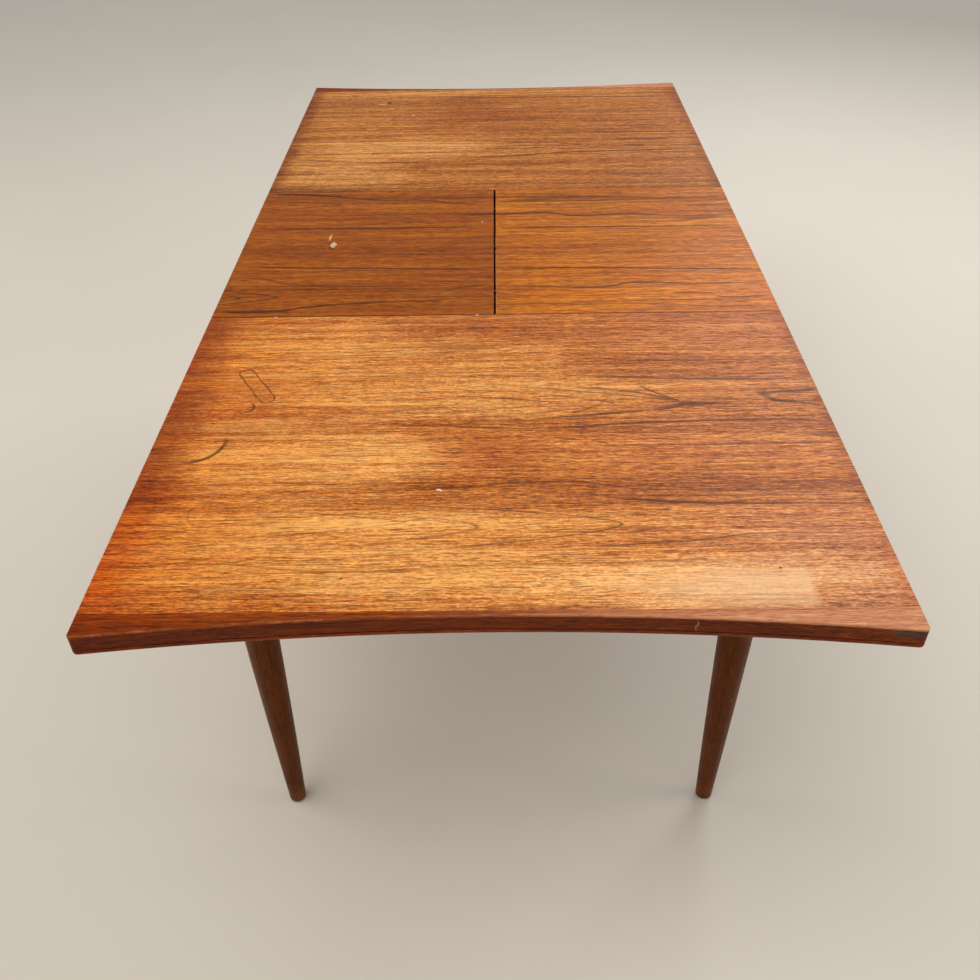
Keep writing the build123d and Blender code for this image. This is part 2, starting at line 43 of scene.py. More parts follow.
class Graph:
    """A material and short ways to add nodes to it.

    u runs along the grain, v and w across it, and offset takes them to another part of the noise.
    """

    def __init__(self, name, along="x", offset=0.0, metallic=0.0, specular=0.5, gloss=(1, 1, 1, 1)):
        self.material = bpy.data.materials.new(name)
        self.material.use_nodes = True
        self.tree = self.material.node_tree
        self.tree.nodes.clear()
        output = self.node("ShaderNodeOutputMaterial")
        self.shader = self.node("ShaderNodeBsdfPrincipled")
        self.shader.inputs["Metallic"].default_value = metallic
        self.shader.inputs["Specular IOR Level"].default_value = specular
        self.shader.inputs["Specular Tint"].default_value = gloss
        self.tree.links.new(self.shader.outputs[0], output.inputs[0])
        self.place = self.node("ShaderNodeTexCoord").outputs["Object"]
        split = self.node("ShaderNodeSeparateXYZ")
        self.tree.links.new(self.place, split.inputs[0])
        self.x, self.y, self.z = split.outputs
        order = {"x": (self.x, self.y, self.z), "y": (self.y, self.x, self.z),
                 "z": (self.z, self.x, self.y)}[along]
        self.u = self.add(order[0], offset * 1.7)
        self.v = self.add(order[1], offset)
        self.w = self.add(order[2], offset * 0.6)

    def node(self, kind):
        return self.tree.nodes.new(kind)

    def put(self, socket, value):
        """Links the value to the socket if it comes from a node, and sets it there otherwise."""
        if isinstance(value, bpy.types.NodeSocket):
            self.tree.links.new(value, socket)
        else:
            socket.default_value = value

    def math(self, operation, *values, clamp=False):
        node = self.node("ShaderNodeMath")
        node.operation = operation
        node.use_clamp = clamp
        for socket, value in zip(node.inputs, values):
            self.put(socket, value)
        return node.outputs[0]

    def add(self, a, b):
        return self.math("ADD", a, b)

    def times(self, first, *others):
        for other in others:
            first = self.math("MULTIPLY", first, other)
        return first

    def inverse(self, mask):
        return self.math("SUBTRACT", 1.0, mask)

    def size(self, value):
        return self.math("ABSOLUTE", value)

    def scaled(self, value, by, plus, clamp=False):
        return self.math("MULTIPLY_ADD", value, by, plus, clamp=clamp)

    def point(self, x, y, z=0.0):
        node = self.node("ShaderNodeCombineXYZ")
        for socket, value in zip(node.inputs, (x, y, z)):
            self.put(socket, value)
        return node.outputs[0]

    def vector(self, operation, a, b=(0, 0, 0), scale=1.0):
        node = self.node("ShaderNodeVectorMath")
        node.operation = operation
        self.put(node.inputs[0], a)
        self.put(node.inputs[1], b)
        if operation == "SCALE":
            self.put(node.inputs["Scale"], scale)
        return node.outputs["Value"] if operation in ("LENGTH", "DOT_PRODUCT") else node.outputs[0]

    def noise(self, vector, scale=1.0, detail=2.0, rough=0.5):
        node = self.node("ShaderNodeTexNoise")
        self.put(node.inputs["Vector"], vector)
        self.put(node.inputs["Scale"], scale)
        self.put(node.inputs["Detail"], detail)
        self.put(node.inputs["Roughness"], rough)
        return node.outputs["Fac"]

    def grain(self, along, across, v=None, detail=2.0, rough=0.5, shift=0.0):
        """Noise drawn out along the grain: along and across are its cells a metre."""
        v = self.v if v is None else v
        return self.noise(
            self.point(self.scaled(self.u, along, shift), self.times(v, across), self.times(self.w, across)),
            detail=detail, rough=rough)

    def ramp(self, value, low, high, start=0.0, end=1.0):
        """A smooth step of value from low to high, given out as start to end."""
        node = self.node("ShaderNodeMapRange")
        node.interpolation_type = "SMOOTHSTEP"
        for socket, number in zip(node.inputs, (value, low, high, start, end)):
            self.put(socket, number)
        return node.outputs[0]

    def mix(self, amount, a, b, blend="MIX"):
        node = self.node("ShaderNodeMix")
        node.data_type = "RGBA"
        node.blend_type = blend
        node.clamp_result = False
        self.put(node.inputs["Factor"], amount)
        self.put(node.inputs[6], a)
        self.put(node.inputs[7], b)
        return node.outputs[2]

    def tint(self, amount, colour, red, green, blue):
        """The colour multiplied by these shares, by as much as amount says."""
        return self.mix(amount, colour, (red, green, blue, 1), "MULTIPLY")

    def tones(self, value, colours):
        """Colours spread evenly over values from LOW_TONE to HIGH_TONE."""
        node = self.node("ShaderNodeValToRGB")
        stops = node.color_ramp.elements
        stops[0].position, stops[1].position = LOW_TONE, HIGH_TONE
        for index in range(1, len(colours) - 1):
            stops.new(LOW_TONE + (HIGH_TONE - LOW_TONE) * index / (len(colours) - 1))
        for stop, colour in zip(stops, colours):
            stop.color = colour
        self.put(node.inputs[0], value)
        return node.outputs[0]

    def finish(self, colour, rough, height=None, depth=0.0003):
        self.put(self.shader.inputs["Base Color"], colour)
        self.put(self.shader.inputs["Roughness"], rough)
        if height is not None:
            bump = self.node("ShaderNodeBump")
            bump.inputs["Distance"].default_value = depth
            bump.inputs["Strength"].default_value = BUMP_STRENGTH
            self.put(bump.inputs["Height"], height)
            self.put(self.shader.inputs["Normal"], bump.outputs[0])
        return self.material

    # marks on a tabletop, in metres from the middle of the table

    def patch(self, x, y, wide, long, edge=0.5, wander=None):
        """1 inside an ellipse of these half sizes, fading out towards its rim."""
        flat = self.point(self.x, self.y)
        away = self.vector("SUBTRACT", flat, (x, y, 0))
        away = self.vector("LENGTH", self.vector("MULTIPLY", away, (1 / wide, 1 / long, 0)))
        if wander is not None:
            away = self.add(away, wander)
        return self.ramp(away, 1 + edge, 1 - edge)

    def patches(self, rows, wander=None):
        """The strongest of several patches. Each row is x, y, wide, long, strength and maybe edge."""
        return self.most(*(self.times(self.patch(x, y, wide, long, *edge, wander=wander), strength)
                           for x, y, wide, long, strength, *edge in rows))

    def most(self, *masks):
        total = masks[0]
        for mask in masks[1:]:
            total = self.math("MAXIMUM", total, mask)
        return total

    def stroke(self, away, width, swell):
        """1 in the middle of a stroke, and 0 where the distance away reaches width times swell."""
        return self.scaled(self.math("DIVIDE", away, self.times(swell, width)),
                           -STROKE_SLOPE, STROKE_SLOPE, clamp=True)

    def line(self, points, width, dark, even=False):
        """A grain line through these points, which run from low x to high x. An even one keeps its width."""
        first, last = points[0][0], points[-1][0]
        low = min(y for _, y in points)
        high = max(y for _, y in points) + 0.002       # above low for a level line too
        run = self.scaled(self.line_x, 1 / (last - first), -first / (last - first))
        node = self.node("ShaderNodeFloatCurve")
        curve = node.mapping.curves[0]
        scaled = [((x - first) / (last - first), (y - low) / (high - low)) for x, y in points]
        curve.points[0].location = scaled[0]
        curve.points[1].location = scaled[-1]
        for spot in scaled[1:-1]:
            curve.points.new(*spot)
        node.mapping.update()
        self.put(node.inputs["Value"], run)
        middle = self.scaled(node.outputs[0], high - low, low)
        away = self.size(self.math("SUBTRACT", self.line_y, middle))
        body = self.stroke(away, width, 1.0 if even else self.swell)
        ends = self.math("MINIMUM", run, self.inverse(run))
        return self.times(body, self.scaled(ends, 7.0, 0.0, clamp=True), dark)

    def arch(self, x, y, long, tall, width, dark, power=1.5, rings=1, lean=0.0):
        """Nested pointed arches of grain with their tip at x, y, which open to the left.

        tall is half their height where they are long deep, and power above 1 makes the tip rounder.
        """
        across = self.scaled(self.line_y, 1 / tall, -y / tall)
        run = self.scaled(self.line_x, -1 / long, x / long)
        across = self.add(across, self.times(run, lean))
        level = self.math("SUBTRACT", self.math("POWER", self.size(across), power), run)
        if rings > 1:
            near = self.math("PINGPONG", self.times(level, float(rings)), 0.5)
        else:
            near = self.size(level)
        slope = self.math("SQRT", self.scaled(self.math("POWER", across, 2.0),
                                              (power / tall) ** 2, 1 / long ** 2))
        away = self.math("DIVIDE", near, self.times(slope, float(rings)))
        body = self.stroke(away, width, self.swell)
        return self.times(body, self.ramp(run, 1.15, 0.35), self.ramp(level, 0.06, 0.02), dark)

    def outline(self, start, end, radius, width):
        """The line of a long oval lying from start to end."""
        run = (end[0] - start[0], end[1] - start[1], 0)
        square = run[0] ** 2 + run[1] ** 2
        away = self.vector("SUBTRACT", self.point(self.x, self.y), (start[0], start[1], 0))
        share = self.math("DIVIDE", self.vector("DOT_PRODUCT", away, run), square, clamp=True)
        foot = self.vector("SCALE", run, scale=share)
        ring = self.math("SUBTRACT", self.vector("LENGTH", self.vector("SUBTRACT", away, foot)), radius)
        ring = self.add(ring, self.scaled(self.noise(self.place, 70.0, 2.0), 0.0036, -0.0018))
        return self.ramp(self.size(ring), width, 0.0)


# ---------------------------------------------------------------- wood

def wood(g, tones, contrast, lift=None, lines=0.6, pores=0.68, warp=0.03, coarse=1.0, heavy=1.0):
    """The plain figure of a wood, in tones from its darkest to its lightest.

    lift is a mask that makes the figure lighter and its fibres stand out, as where the finish has worn off.
    warp is how far the figure sways, in metres, coarse above 1 packs its bands closer, and heavy is how
    broad the separate grain lines are. It leaves g.line_x, g.line_y and g.swell for those lines, and
    g.fine, g.depth and g.height for the roughness, other tones and the bump.
    """
    slow = g.grain(1.3, 4.0)
    quick = g.grain(9.0, 34.0)
    warped = g.add(g.v, g.add(g.scaled(slow, warp, -warp / 2), g.scaled(quick, 0.0028, -0.0014)))
    g.line_x, g.line_y = g.x, g.add(g.y, g.scaled(quick, 0.005, -0.0025))
    g.swell = g.ramp(g.grain(16.0, 60.0, shift=3.0), 0.3, 0.7, 0.5 * heavy, 1.35 * heavy)
    layers = (
        (0.42, g.grain(0.9, 17.0 * coarse, v=warped, detail=3.0, rough=0.55)),
        (0.50, g.grain(2.0, 90.0 * coarse, v=warped, detail=3.0, rough=0.65, shift=5.0)),
        (0.45, g.grain(6.0, 300.0, v=warped, rough=0.65, shift=7.0)),
        (0.85, g.grain(60.0, 620.0, v=warped, rough=0.75, shift=9.0)),
    )
    depth = 0.5 - 0.5 * contrast * sum(weight for weight, _ in layers)
    for weight, layer in layers:
        depth = g.scaled(layer, weight * contrast, depth)
    if lift is not None:
        depth = g.add(g.times(depth, g.scaled(lift, 0.25, 1.0)), g.times(lift, 0.15))
        crackle = g.grain(190.0, 480.0, v=warped, detail=3.0, rough=0.7, shift=41.0)
        depth = g.add(depth, g.times(g.scaled(crackle, 2.4, -1.2), g.scaled(lift, 0.6, 0.4)))
    contour = g.grain(0.8, 26.0 * coarse, v=warped, detail=1.0, shift=13.0)
    ridge = g.ramp(g.size(g.math("SUBTRACT", contour, 0.5)), 0.0, 0.022, 1.0, 0.0)
    ridge = g.times(ridge, g.ramp(g.grain(1.4, 12.0, shift=21.0), 0.5, 0.62))
    tick = g.ramp(g.grain(46.0, 850.0, detail=1.0, shift=2.0), 0.57, 0.67)
    thread = g.ramp(g.grain(13.0, 520.0, v=warped, rough=0.6, shift=4.0), 0.58, 0.68)
    colour = g.tones(depth, tones)
    if lift is not None:
        gleam = g.ramp(g.grain(15.0, 430.0, v=warped, rough=0.6, shift=17.0), 0.56, 0.68)
        colour = g.tint(g.times(gleam, g.scaled(lift, 0.6, 0.15)), colour, 1.48, 1.52, 1.56)
    colour = g.mix(g.times(ridge, lines), colour, tones[0])
    colour = g.mix(g.times(g.most(tick, thread), pores), colour, tones[0])
    g.fine, g.depth = layers[1][1], depth
    g.height = g.scaled(tick, -0.8, g.times(depth, 0.6))
    return colour


WARM_GLOSS = (1.0, 0.74, 0.48, 1)      # an aged oil finish
RED_GLOSS = (1.0, 0.60, 0.26, 1)       # the same finish on redder wood
WORN = tone(240, 178, 102)             # wood rubbed bare
DEEP = tone(62, 24, 10)                # the dark grain lines, knots and bruises, also painted as shade along the seams


def sheen_tones(g):
    """The rosy grey of a painted sheen, where the light glances off the finish."""
    return g.tones(g.depth, (tone(112, 58, 36), tone(184, 116, 82), tone(218, 152, 112), tone(246, 194, 156)))


# Grain lines of the near top: the points of each, its width in metres and its darkness
NEAR_LINES = (
    (((-0.14, -0.561), (-0.09, -0.562), (-0.03, -0.566), (0.036, -0.570)), 0.0020, 0.7),
    (((0.04, -0.570), (0.10, -0.568), (0.16, -0.562), (0.245, -0.557), (0.33, -0.554), (0.39, -0.555),
      (0.46, -0.561)), 0.0024, 0.85),
    (((0.09, -0.439), (0.17, -0.443), (0.245, -0.450), (0.32, -0.453), (0.45, -0.455)), 0.0026, 0.85),
    (((-0.43, -0.429), (-0.31, -0.434), (-0.16, -0.436), (0.00, -0.438), (0.10, -0.442)), 0.0018, 0.55),
    (((-0.13, -0.477), (-0.11, -0.483), (-0.095, -0.490)), 0.0016, 0.7),
    (((0.10, -0.470), (0.155, -0.476), (0.20, -0.486), (0.235, -0.501), (0.26, -0.513)), 0.0030, 0.9),
    (((0.20, -0.466), (0.228, -0.490), (0.26, -0.513)), 0.0030, 0.9),
    (((0.10, -0.545), (0.16, -0.535), (0.22, -0.529), (0.26, -0.519), (0.29, -0.515), (0.335, -0.516)),
     0.0026, 0.9),
    (((0.10, -0.536), (0.135, -0.520), (0.155, -0.500), (0.162, -0.490)), 0.0024, 0.85),
    (((0.12, -0.607), (0.245, -0.611), (0.35, -0.610), (0.45, -0.608)), 0.0018, 0.55),
    (((-0.15, -0.705), (-0.033, -0.694), (0.078, -0.686), (0.133, -0.692), (0.217, -0.703),
      (0.33, -0.705), (0.45, -0.698)), 0.0018, 0.65),
    (((0.12, -0.708), (0.20, -0.726), (0.30, -0.731), (0.38, -0.732), (0.45, -0.738)), 0.0026, 0.9),
    (((0.10, -0.806), (0.175, -0.801), (0.245, -0.795), (0.315, -0.785), (0.38, -0.786), (0.45, -0.792)),
     0.0022, 0.75),
    (((-0.45, -0.825), (-0.31, -0.830), (-0.16, -0.844), (-0.09, -0.840), (0.036, -0.835),
      (0.245, -0.830), (0.45, -0.825)), 0.0017, 0.6),
    (((-0.38, -0.875), (-0.20, -0.870), (0.05, -0.872), (0.25, -0.868)), 0.0015, 0.5),
    (((-0.44, -0.384), (-0.28, -0.378), (-0.15, -0.376), (-0.05, -0.372)), 0.0020, 0.6),
    (((-0.40, -0.345), (-0.30, -0.335), (-0.22, -0.337), (-0.12, -0.332)), 0.0018, 0.45),
    (((0.369, -0.492), (0.375, -0.503), (0.39, -0.509), (0.42, -0.514), (0.45, -0.526)), 0.0042, 0.95),
    (((0.370, -0.494), (0.385, -0.489), (0.41, -0.487), (0.45, -0.482)), 0.0036, 0.9),
)


def near_top_material():
    """The near top: bleached and rubbed on the left, redder on the right, with strong figure there; its
    warmer left, part of the redness on the right and the pale sheen low on the right are painted light.
    """
    g = Graph("teak_near_top", "x", offset=0.31, specular=0.3, gloss=WARM_GLOSS)
    wander = g.scaled(g.noise(g.place, 9.0, 4.0, 0.6), 1.5, -0.75)
    rubbed = g.grain(3.0, 70.0, detail=3.0, rough=0.6, shift=31.0)
    pale = g.patches((
        (-0.22, -0.41, 0.19, 0.115, 0.5),
        (-0.29, -0.315, 0.13, 0.055, 0.6),
        (-0.15, -0.80, 0.27, 0.09, 0.6),
        (0.04, -0.870, 0.34, 0.032, 1.0, 0.3),
        (-0.02, -0.48, 0.20, 0.07, 0.7),
        (0.25, -0.86, 0.16, 0.05, 0.7),
        (-0.26, -0.63, 0.17, 0.10, 1.0),
    ), wander)
    # two pale shapes with one crisp edge each, where something lay on the top for years
    block = g.times(g.ramp(g.x, 0.100, 0.094), g.ramp(g.x, -0.14, -0.03),
                    g.ramp(g.y, -0.535, -0.48), g.ramp(g.y, -0.345, -0.380))
    sharp = g.times(g.ramp(g.x, 0.352, 0.340), g.ramp(g.x, 0.06, 0.30),
                    g.ramp(g.add(g.y, g.times(wander, 0.03)), -0.815, -0.875), g.ramp(g.y, -0.915, -0.885))
    pale = g.most(pale, g.times(block, 0.6), g.times(sharp, 0.9))
    pale = g.times(pale, g.ramp(rubbed, 0.34, 0.60, 0.15, 1.0))

    colour = wood(g, (tone(112, 50, 16), tone(186, 102, 40), tone(226, 142, 64), tone(250, 186, 106)),
                  contrast=1.6, lift=pale, pores=0.85, heavy=1.15)
    lines = g.most(
        *(g.line(*row) for row in NEAR_LINES),
        g.arch(0.262, -0.514, 0.30, 0.052, 0.0030, 0.9, power=1.35, rings=3, lean=-0.12),
        g.arch(0.078, -0.510, 0.26, 0.030, 0.0024, 0.8, power=1.6, rings=2),
        g.arch(0.148, -0.767, 0.34, 0.050, 0.0025, 0.8, power=1.7, rings=2, lean=0.10),
        g.arch(-0.106, -0.760, 0.22, 0.030, 0.0022, 0.85, power=1.3),
    )
    knots = g.patches(((0.272, -0.515, 0.024, 0.0052, 0.85, 0.5), (0.373, -0.492, 0.009, 0.007, 0.8, 0.6)))
    colour = g.mix(g.times(g.most(lines, knots), g.scaled(pale, -0.25, 0.92)), colour, DEEP)

    # warmer to the left and redder to the right, both painted light; redder in grubby patches; a painted
    # sheen low on the right and a painted rosy sheen in the near right corner
    # right grows towards the right edge and carries a painted red cast and a painted sheen
    right = g.ramp(g.x, -0.10, 0.42)
    painted_warm_light = g.ramp(g.x, -0.12, -0.44)
    painted_sheen = g.most(g.patch(0.22, -0.865, 0.20, 0.05, wander=wander),
                  g.times(g.ramp(g.y, -0.70, -0.88), right))
    redder = g.most(g.times(right, 0.3), g.patches((
        (0.31, -0.63, 0.18, 0.10, 0.4),
        (0.00, -0.625, 0.08, 0.035, 0.9),
        (0.34, -0.30, 0.20, 0.06, 0.8),
        (-0.05, -0.28, 0.12, 0.03, 0.5),
        (-0.36, -0.52, 0.07, 0.07, 0.6),
        (-0.24, -0.545, 0.12, 0.025, 0.4),
    ), wander))
    # painted warmth of the light on the left, then a painted red cast on the right added to the grubby
    # patches
    colour = g.tint(painted_warm_light, colour, 0.94, 0.73, 0.38)
    colour = g.tint(redder, colour, 0.80, 0.64, 0.70)
    # painted sheen, lighter and paler towards the near right
    colour = g.tint(painted_sheen, colour, 1.20, 1.36, 1.75)
    # painted rosy sheen in the near right corner
    rosy_sheen_corner = g.times(g.ramp(g.x, 0.16, 0.40), g.ramp(g.y, -0.66, -0.86))
    colour = g.mix(g.times(rosy_sheen_corner, 0.6), colour, sheen_tones(g))
    colour = g.mix(g.times(pale, 0.34), colour, WORN)
    colour = g.mix(g.times(sharp, g.ramp(rubbed, 0.30, 0.62, 0.25, 0.75)), colour, tone(246, 204, 160))
    # darker towards the edges and reddest at the near left corner; the wide soft band along the left edge is
    # painted shade
    rim = g.most(g.ramp(g.x, -0.375, -0.440), g.times(g.ramp(g.x, 0.425, 0.447), 0.5),
                 g.times(g.ramp(g.y, -0.285, -0.262), 0.3))
    rim = g.times(rim, g.ramp(wander, -0.6, 0.5, 0.6, 1.0))
    corner = g.ramp(g.y, -0.62, -0.86)
    colour = g.mix(rim, colour, g.mix(corner, (0.52, 0.32, 0.26, 1), (0.86, 0.52, 0.18, 1)), "MULTIPLY")

    # a scratched long oval with a hook under it, a curved scratch and a faint ring
    oval = g.times(g.outline((-0.360, -0.424), (-0.319, -0.491), 0.0105, 0.0020),
                   g.ramp(g.noise(g.place, 60.0, 3.0, 0.6), 0.30, 0.55, 0.5, 1.0))
    hook = g.times(g.outline((-0.345, -0.512), (-0.344, -0.513), 0.011, 0.0034),
                   g.patch(-0.336, -0.517, 0.009, 0.014, edge=0.3))
    arc = g.times(g.outline((-0.402, -0.592), (-0.401, -0.593), 0.046, 0.0050),
                  g.patch(-0.372, -0.618, 0.030, 0.034, edge=0.3))
    faint = g.times(g.outline((-0.345, -0.742), (-0.344, -0.743), 0.024, 0.002),
                    g.patch(-0.345, -0.745, 0.032, 0.030, edge=0.4))
    marks = g.most(oval, hook, arc, g.times(faint, 0.4))
    colour = g.mix(g.times(marks, 0.88), colour, tone(80, 34, 12))
    specks = g.patches((
        (-0.172, -0.855, 0.0016, 0.0014, 1.0, 0.3),
        (0.316, -0.844, 0.0018, 0.0018, 1.0, 0.3),
        (-0.381, -0.551, 0.0030, 0.0014, 1.0, 0.3),
        (-0.373, -0.893, 0.0022, 0.0016, 0.5, 0.5),
    ))
    colour = g.mix(g.times(specks, 0.8), colour, tone(38, 16, 8))
    # painted shade along the seam with the leaf
    colour = g.mix(g.ramp(g.y, -SEAM_Y - 0.0027, -SEAM_Y - 0.0011, 0.0, 0.7), colour, DEEP)
    white = g.patches((
        (-0.070, -0.6990, 0.0030, 0.0017, 1.0, 0.3),
        (-0.067, -0.7010, 0.0018, 0.0010, 1.0, 0.3),
        (-0.347, -0.2575, 0.0030, 0.0012, 1.0, 0.3),
        (-0.028, -0.2572, 0.0025, 0.0012, 1.0, 0.3),
    ))
    colour = g.mix(g.times(white, 0.9), colour, tone(240, 226, 206))
    rough = g.scaled(pale, 0.20, g.scaled(g.fine, 0.10, 0.36))
    return g.finish(colour, rough, g.height)


# Grain lines of the far top: the points of each, its width in metres and its darkness
FAR_LINES = (
    (((-0.10, 0.436), (-0.005, 0.436), (0.07, 0.446), (0.15, 0.457), (0.25, 0.464), (0.45, 0.469)),
     0.0036, 0.85),
    (((0.26, 0.534), (0.30, 0.537), (0.34, 0.534), (0.39, 0.541)), 0.0050, 0.7),
    (((0.28, 0.500), (0.305, 0.497), (0.33, 0.496)), 0.0065, 0.6),
    (((0.09, 0.575), (0.20, 0.584), (0.27, 0.580), (0.45, 0.584)), 0.0032, 0.75),
    (((-0.44, 0.437), (-0.32, 0.420), (-0.24, 0.412), (-0.12, 0.410)), 0.0032, 0.7),
    (((-0.12, 0.392), (0.02, 0.390), (0.12, 0.388)), 0.0022, 0.5),
    (((0.14, 0.745), (0.20, 0.755), (0.225, 0.770), (0.232, 0.785)), 0.0030, 0.65),
    (((-0.42, 0.872), (-0.36, 0.868), (-0.30, 0.868)), 0.0024, 0.5),
    (((-0.15, 0.850), (0.05, 0.842), (0.20, 0.836), (0.44, 0.832)), 0.0034, 0.75),
    (((-0.30, 0.536), (-0.27, 0.525), (-0.24, 0.513), (-0.22, 0.512)), 0.0030, 0.5),
    (((-0.40, 0.363), (-0.37, 0.362)), 0.0045, 0.7),
    (((-0.36, 0.285), (-0.10, 0.290), (0.10, 0.284)), 0.0020, 0.5),
)


def far_top_material():
    """The far top: browner, and bleached on its left side and in a band across it."""
    g = Graph("teak_far_top", "x", offset=1.23, specular=0.3, gloss=WARM_GLOSS)
    wander = g.scaled(g.noise(g.place, 8.0, 4.0, 0.6), 1.7, -0.85)
    rubbed = g.grain(3.0, 75.0, detail=3.0, rough=0.62, shift=31.0)
    pale = g.patches((
        (-0.20, 0.50, 0.24, 0.060, 0.9),
        (-0.32, 0.35, 0.13, 0.09, 0.65),
        (-0.28, 0.77, 0.16, 0.13, 0.35),
        (-0.08, 0.885, 0.34, 0.030, 0.7),
        (0.30, 0.86, 0.14, 0.04, 0.35),
    ), wander)
    pale = g.times(pale, g.ramp(rubbed, 0.34, 0.60, 0.1, 1.0))
    colour = wood(g, (tone(98, 46, 8), tone(160, 88, 26), tone(203, 124, 48), tone(232, 166, 90)),
                  contrast=1.7, lift=pale, pores=0.85, heavy=1.4)
    lines = g.most(
        *(g.line(*row) for row in FAR_LINES),
        g.arch(0.187, 0.507, 0.24, 0.032, 0.0032, 0.8, power=1.4, rings=2),
        g.arch(0.098, 0.512, 0.12, 0.022, 0.0028, 0.75, power=1.6),
    )
    colour = g.mix(g.times(lines, 0.9), colour, DEEP)
    browner = g.most(g.times(g.patch(-0.02, 0.72, 0.18, 0.11, wander=wander), 0.9),
                     g.times(g.ramp(g.x, -0.05, 0.40), g.ramp(g.y, 0.32, 0.48), 0.3))
    colour = g.tint(browner, colour, 0.82, 0.70, 0.54)
    colour = g.mix(g.times(pale, 0.30), colour, tone(226, 178, 116))
    rim = g.most(g.ramp(g.x, -0.408, -0.445), g.times(g.ramp(g.x, 0.42, 0.447), 0.6))
    rim = g.times(rim, g.ramp(wander, -0.7, 0.4, 0.45, 1.0))
    colour = g.tint(rim, colour, 0.50, 0.34, 0.30)
    mark = g.patches(((-0.253, 0.809, 0.005, 0.007, 1.0, 0.3), (-0.30, 0.79, 0.003, 0.002, 1.0, 0.3)))
    colour = g.mix(g.times(mark, 0.85), colour, tone(40, 20, 10))
    scuff = g.patches((
        (-0.19, 0.715, 0.0035, 0.006, 1.0, 0.4),
        (-0.27, 0.80, 0.010, 0.004, 1.0, 0.5),
        (0.045, 0.765, 0.022, 0.003, 1.0, 0.5),
    ))
    colour = g.mix(g.times(scuff, 0.6), colour, tone(226, 182, 132))
    rough = g.scaled(pale, 0.16, g.scaled(g.fine, 0.10, 0.38))
    return g.finish(colour, rough, g.height)


# Grain lines of the leaf: the points of each, its width in metres and its darkness
LEAF_LINES = (
    (((-0.45, 0.248), (-0.39, 0.242), (-0.33, 0.233), (-0.28, 0.223)), 0.0040, 0.9),
    (((-0.31, 0.230), (-0.22, 0.210), (-0.13, 0.205), (-0.08, 0.189), (-0.01, 0.180)), 0.0024, 0.75),
    (((-0.45, 0.134), (-0.38, 0.143), (-0.31, 0.137), (-0.17, 0.139), (-0.01, 0.139)), 0.0020, 0.5),
    (((-0.46, -0.238), (-0.36, -0.237), (-0.31, -0.227), (-0.25, -0.216), (-0.17, -0.210)), 0.0036, 0.85),
    (((-0.26, -0.217), (-0.17, -0.210), (-0.10, -0.207), (-0.07, -0.190)), 0.0024, 0.8),
    (((-0.09, -0.176), (-0.05, -0.161), (-0.01, -0.154)), 0.0020, 0.6),
    (((-0.44, -0.115), (-0.39, -0.124), (-0.33, -0.147), (-0.24, -0.150)), 0.0022, 0.55),
    (((-0.10, 0.139), (0.02, 0.135), (0.07, 0.140), (0.12, 0.134), (0.16, 0.124), (0.25, 0.128),
      (0.35, 0.117), (0.46, 0.122)), 0.0030, 0.85),
    (((0.0, -0.161), (0.07, -0.161), (0.15, -0.167), (0.20, -0.161), (0.235, -0.152), (0.35, -0.158),
      (0.46, -0.149)), 0.0028, 0.75),
    (((0.28, -0.203), (0.32, -0.189), (0.35, -0.193), (0.37, -0.207), (0.40, -0.207), (0.45, -0.203)),
     0.0026, 0.75),
    (((0.0, 0.237), (0.11, 0.228), (0.20, 0.214), (0.29, 0.210), (0.38, 0.228), (0.46, 0.224)),
     0.0022, 0.5),
    (((0.08, -0.236), (0.20, -0.226), (0.28, -0.228), (0.36, -0.238), (0.45, -0.236)), 0.0024, 0.55),
)

# The joints between the strips of its veneer, as even dark lines
LEAF_JOINTS = (
    (((-0.46, 0.078), (-0.31, 0.080), (-0.19, 0.078), (-0.01, 0.083)), 0.0036, 0.85),
    (((-0.46, -0.074), (-0.31, -0.084), (-0.17, -0.089), (-0.08, -0.094), (0.0, -0.099)), 0.0034, 0.85),
    (((0.0, 0.075), (0.20, 0.072), (0.46, 0.071)), 0.0038, 0.9),
    (((0.0, -0.094), (0.12, -0.094), (0.29, -0.101), (0.46, -0.108)), 0.0034, 0.9),
)


